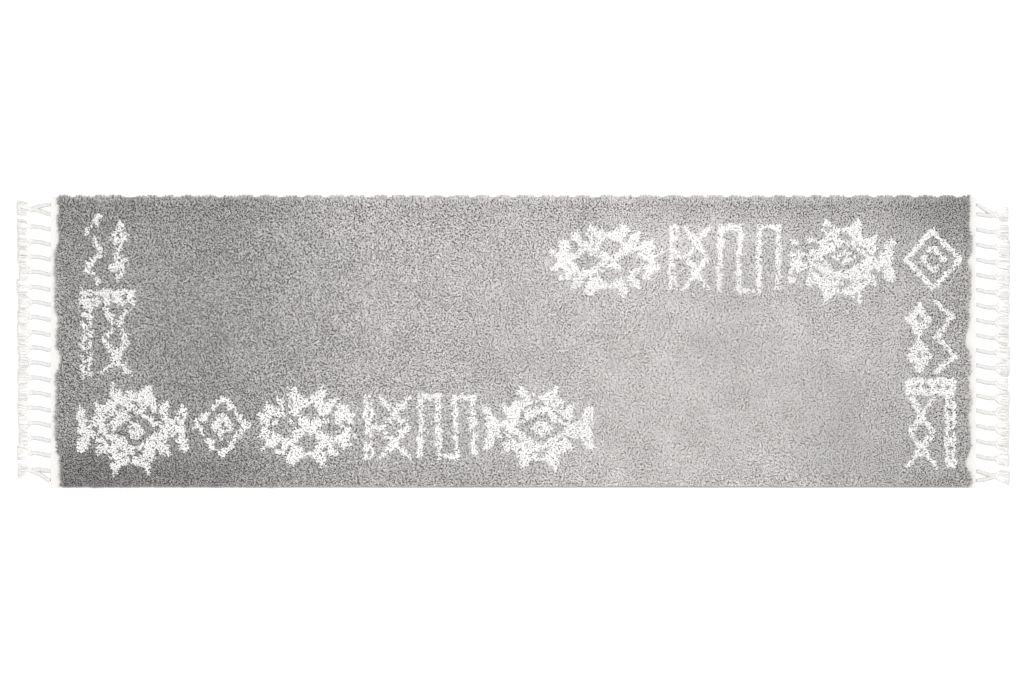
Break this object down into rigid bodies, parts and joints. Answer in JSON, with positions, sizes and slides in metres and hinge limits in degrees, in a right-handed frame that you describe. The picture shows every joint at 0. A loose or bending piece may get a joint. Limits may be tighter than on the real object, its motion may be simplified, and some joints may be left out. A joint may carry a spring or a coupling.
{
  "type": "runner rug",
  "caption": "Long narrow shag rug: grey cut pile with white geometric motifs on a woven backing, flat woven ends, overcast sides and a fringe of knotted tassels that swing on their cords.",
  "frame": {"origin": "middle of the underside, on the floor that the rug lies on", "axes": "+X along the rug's length, +Y across it, +Z up through the pile; seen from above with +Y up, the motif row at the back edge runs to the right end"},
  "size_m": [2.7212, 0.8, 0.028],
  "materials": {
    "backing_jute": "coarse plain weave, matt",
    "grey_pile_yarn": "twisted cut pile, soft, matt",
    "white_pile_yarn": "twisted cut pile, soft, matt",
    "band_cotton": "flat weave, matt",
    "overcast_thread": "overcast stitching, matt",
    "fringe_cotton": "twisted cotton cord with cut ends, matt"
  },
  "bodies": {
    "rug": {"woven_backing": "backing_jute", "grey_pile": "grey_pile_yarn", "white_lozenge_medallion_back": "white_pile_yarn", "white_ladder_panel_back": "white_pile_yarn", "white_meander_back": "white_pile_yarn", "white_star_medallion_back": "white_pile_yarn", "white_nested_diamond_back": "white_pile_yarn", "white_diamond_pair_right": "white_pile_yarn", "white_zigzag_right": "white_pile_yarn", "white_corner_panel_right": "white_pile_yarn", "white_star_medallion_corner": "white_pile_yarn", "white_nested_diamond_front": "white_pile_yarn", "white_lozenge_medallion_front": "white_pile_yarn", "white_ladder_panel_front": "white_pile_yarn", "white_meander_front": "white_pile_yarn", "white_star_medallion_front": "white_pile_yarn", "white_diamond_pair_left": "white_pile_yarn", "white_zigzag_left": "white_pile_yarn", "white_corner_panel_left": "white_pile_yarn", "end_band_left": "band_cotton", "end_band_right": "band_cotton", "overcast_edge_front": "overcast_thread", "overcast_edge_back": "overcast_thread"},
    "tassel_left_01": {"tassel_left_01": "fringe_cotton"},
    "tassel_left_02": {"tassel_left_02": "fringe_cotton"},
    "tassel_left_03": {"tassel_left_03": "fringe_cotton"},
    "tassel_left_04": {"tassel_left_04": "fringe_cotton"},
    "tassel_left_05": {"tassel_left_05": "fringe_cotton"},
    "tassel_left_06": {"tassel_left_06": "fringe_cotton"},
    "tassel_left_07": {"tassel_left_07": "fringe_cotton"},
    "tassel_left_08": {"tassel_left_08": "fringe_cotton"},
    "tassel_left_09": {"tassel_left_09": "fringe_cotton"},
    "tassel_left_10": {"tassel_left_10": "fringe_cotton"},
    "tassel_left_11": {"tassel_left_11": "fringe_cotton"},
    "tassel_left_12": {"tassel_left_12": "fringe_cotton"},
    "tassel_left_13": {"tassel_left_13": "fringe_cotton"},
    "tassel_left_14": {"tassel_left_14": "fringe_cotton"},
    "tassel_left_15": {"tassel_left_15": "fringe_cotton"},
    "tassel_left_16": {"tassel_left_16": "fringe_cotton"},
    "tassel_left_17": {"tassel_left_17": "fringe_cotton"},
    "tassel_left_18": {"tassel_left_18": "fringe_cotton"},
    "tassel_right_01": {"tassel_right_01": "fringe_cotton"},
    "tassel_right_02": {"tassel_right_02": "fringe_cotton"},
    "tassel_right_03": {"tassel_right_03": "fringe_cotton"},
    "tassel_right_04": {"tassel_right_04": "fringe_cotton"},
    "tassel_right_05": {"tassel_right_05": "fringe_cotton"},
    "tassel_right_06": {"tassel_right_06": "fringe_cotton"},
    "tassel_right_07": {"tassel_right_07": "fringe_cotton"},
    "tassel_right_08": {"tassel_right_08": "fringe_cotton"},
    "tassel_right_09": {"tassel_right_09": "fringe_cotton"},
    "tassel_right_10": {"tassel_right_10": "fringe_cotton"},
    "tassel_right_11": {"tassel_right_11": "fringe_cotton"},
    "tassel_right_12": {"tassel_right_12": "fringe_cotton"},
    "tassel_right_13": {"tassel_right_13": "fringe_cotton"},
    "tassel_right_14": {"tassel_right_14": "fringe_cotton"},
    "tassel_right_15": {"tassel_right_15": "fringe_cotton"},
    "tassel_right_16": {"tassel_right_16": "fringe_cotton"},
    "tassel_right_17": {"tassel_right_17": "fringe_cotton"},
    "tassel_right_18": {"tassel_right_18": "fringe_cotton"}
  },
  "joints": [
    {"name": "tassel_left_01_swing", "type": "hinge", "parent": "rug", "child": "tassel_left_01", "pos_m": [-1.2746, 0.352, 0.007], "axis": [0, 1, 0], "range_deg": [-90, 120]},
    {"name": "tassel_left_02_swing", "type": "hinge", "parent": "rug", "child": "tassel_left_02", "pos_m": [-1.2746, 0.31059, 0.007], "axis": [0, 1, 0], "range_deg": [-90, 120]},
    {"name": "tassel_left_03_swing", "type": "hinge", "parent": "rug", "child": "tassel_left_03", "pos_m": [-1.2746, 0.26918, 0.007], "axis": [0, 1, 0], "range_deg": [-90, 120]},
    {"name": "tassel_left_04_swing", "type": "hinge", "parent": "rug", "child": "tassel_left_04", "pos_m": [-1.2746, 0.22776, 0.007], "axis": [0, 1, 0], "range_deg": [-90, 120]},
    {"name": "tassel_left_05_swing", "type": "hinge", "parent": "rug", "child": "tassel_left_05", "pos_m": [-1.2746, 0.18635, 0.007], "axis": [0, 1, 0], "range_deg": [-90, 120]},
    {"name": "tassel_left_06_swing", "type": "hinge", "parent": "rug", "child": "tassel_left_06", "pos_m": [-1.2746, 0.14494, 0.007], "axis": [0, 1, 0], "range_deg": [-90, 120]},
    {"name": "tassel_left_07_swing", "type": "hinge", "parent": "rug", "child": "tassel_left_07", "pos_m": [-1.2746, 0.10353, 0.007], "axis": [0, 1, 0], "range_deg": [-90, 120]},
    {"name": "tassel_left_08_swing", "type": "hinge", "parent": "rug", "child": "tassel_left_08", "pos_m": [-1.2746, 0.06212, 0.007], "axis": [0, 1, 0], "range_deg": [-90, 120]},
    {"name": "tassel_left_09_swing", "type": "hinge", "parent": "rug", "child": "tassel_left_09", "pos_m": [-1.2746, 0.02071, 0.007], "axis": [0, 1, 0], "range_deg": [-90, 120]},
    {"name": "tassel_left_10_swing", "type": "hinge", "parent": "rug", "child": "tassel_left_10", "pos_m": [-1.2746, -0.02071, 0.007], "axis": [0, 1, 0], "range_deg": [-90, 120]},
    {"name": "tassel_left_11_swing", "type": "hinge", "parent": "rug", "child": "tassel_left_11", "pos_m": [-1.2746, -0.06212, 0.007], "axis": [0, 1, 0], "range_deg": [-90, 120]},
    {"name": "tassel_left_12_swing", "type": "hinge", "parent": "rug", "child": "tassel_left_12", "pos_m": [-1.2746, -0.10353, 0.007], "axis": [0, 1, 0], "range_deg": [-90, 120]},
    {"name": "tassel_left_13_swing", "type": "hinge", "parent": "rug", "child": "tassel_left_13", "pos_m": [-1.2746, -0.14494, 0.007], "axis": [0, 1, 0], "range_deg": [-90, 120]},
    {"name": "tassel_left_14_swing", "type": "hinge", "parent": "rug", "child": "tassel_left_14", "pos_m": [-1.2746, -0.18635, 0.007], "axis": [0, 1, 0], "range_deg": [-90, 120]},
    {"name": "tassel_left_15_swing", "type": "hinge", "parent": "rug", "child": "tassel_left_15", "pos_m": [-1.2746, -0.22776, 0.007], "axis": [0, 1, 0], "range_deg": [-90, 120]},
    {"name": "tassel_left_16_swing", "type": "hinge", "parent": "rug", "child": "tassel_left_16", "pos_m": [-1.2746, -0.26918, 0.007], "axis": [0, 1, 0], "range_deg": [-90, 120]},
    {"name": "tassel_left_17_swing", "type": "hinge", "parent": "rug", "child": "tassel_left_17", "pos_m": [-1.2746, -0.31059, 0.007], "axis": [0, 1, 0], "range_deg": [-90, 120]},
    {"name": "tassel_left_18_swing", "type": "hinge", "parent": "rug", "child": "tassel_left_18", "pos_m": [-1.2746, -0.352, 0.007], "axis": [0, 1, 0], "range_deg": [-90, 120]},
    {"name": "tassel_right_01_swing", "type": "hinge", "parent": "rug", "child": "tassel_right_01", "pos_m": [1.2746, -0.352, 0.007], "axis": [0, -1, 0], "range_deg": [-90, 120]},
    {"name": "tassel_right_02_swing", "type": "hinge", "parent": "rug", "child": "tassel_right_02", "pos_m": [1.2746, -0.31059, 0.007], "axis": [0, -1, 0], "range_deg": [-90, 120]},
    {"name": "tassel_right_03_swing", "type": "hinge", "parent": "rug", "child": "tassel_right_03", "pos_m": [1.2746, -0.26918, 0.007], "axis": [0, -1, 0], "range_deg": [-90, 120]},
    {"name": "tassel_right_04_swing", "type": "hinge", "parent": "rug", "child": "tassel_right_04", "pos_m": [1.2746, -0.22776, 0.007], "axis": [0, -1, 0], "range_deg": [-90, 120]},
    {"name": "tassel_right_05_swing", "type": "hinge", "parent": "rug", "child": "tassel_right_05", "pos_m": [1.2746, -0.18635, 0.007], "axis": [0, -1, 0], "range_deg": [-90, 120]},
    {"name": "tassel_right_06_swing", "type": "hinge", "parent": "rug", "child": "tassel_right_06", "pos_m": [1.2746, -0.14494, 0.007], "axis": [0, -1, 0], "range_deg": [-90, 120]},
    {"name": "tassel_right_07_swing", "type": "hinge", "parent": "rug", "child": "tassel_right_07", "pos_m": [1.2746, -0.10353, 0.007], "axis": [0, -1, 0], "range_deg": [-90, 120]},
    {"name": "tassel_right_08_swing", "type": "hinge", "parent": "rug", "child": "tassel_right_08", "pos_m": [1.2746, -0.06212, 0.007], "axis": [0, -1, 0], "range_deg": [-90, 120]},
    {"name": "tassel_right_09_swing", "type": "hinge", "parent": "rug", "child": "tassel_right_09", "pos_m": [1.2746, -0.02071, 0.007], "axis": [0, -1, 0], "range_deg": [-90, 120]},
    {"name": "tassel_right_10_swing", "type": "hinge", "parent": "rug", "child": "tassel_right_10", "pos_m": [1.2746, 0.02071, 0.007], "axis": [0, -1, 0], "range_deg": [-90, 120]},
    {"name": "tassel_right_11_swing", "type": "hinge", "parent": "rug", "child": "tassel_right_11", "pos_m": [1.2746, 0.06212, 0.007], "axis": [0, -1, 0], "range_deg": [-90, 120]},
    {"name": "tassel_right_12_swing", "type": "hinge", "parent": "rug", "child": "tassel_right_12", "pos_m": [1.2746, 0.10353, 0.007], "axis": [0, -1, 0], "range_deg": [-90, 120]},
    {"name": "tassel_right_13_swing", "type": "hinge", "parent": "rug", "child": "tassel_right_13", "pos_m": [1.2746, 0.14494, 0.007], "axis": [0, -1, 0], "range_deg": [-90, 120]},
    {"name": "tassel_right_14_swing", "type": "hinge", "parent": "rug", "child": "tassel_right_14", "pos_m": [1.2746, 0.18635, 0.007], "axis": [0, -1, 0], "range_deg": [-90, 120]},
    {"name": "tassel_right_15_swing", "type": "hinge", "parent": "rug", "child": "tassel_right_15", "pos_m": [1.2746, 0.22776, 0.007], "axis": [0, -1, 0], "range_deg": [-90, 120]},
    {"name": "tassel_right_16_swing", "type": "hinge", "parent": "rug", "child": "tassel_right_16", "pos_m": [1.2746, 0.26918, 0.007], "axis": [0, -1, 0], "range_deg": [-90, 120]},
    {"name": "tassel_right_17_swing", "type": "hinge", "parent": "rug", "child": "tassel_right_17", "pos_m": [1.2746, 0.31059, 0.007], "axis": [0, -1, 0], "range_deg": [-90, 120]},
    {"name": "tassel_right_18_swing", "type": "hinge", "parent": "rug", "child": "tassel_right_18", "pos_m": [1.2746, 0.352, 0.007], "axis": [0, -1, 0], "range_deg": [-90, 120]}
  ]
}
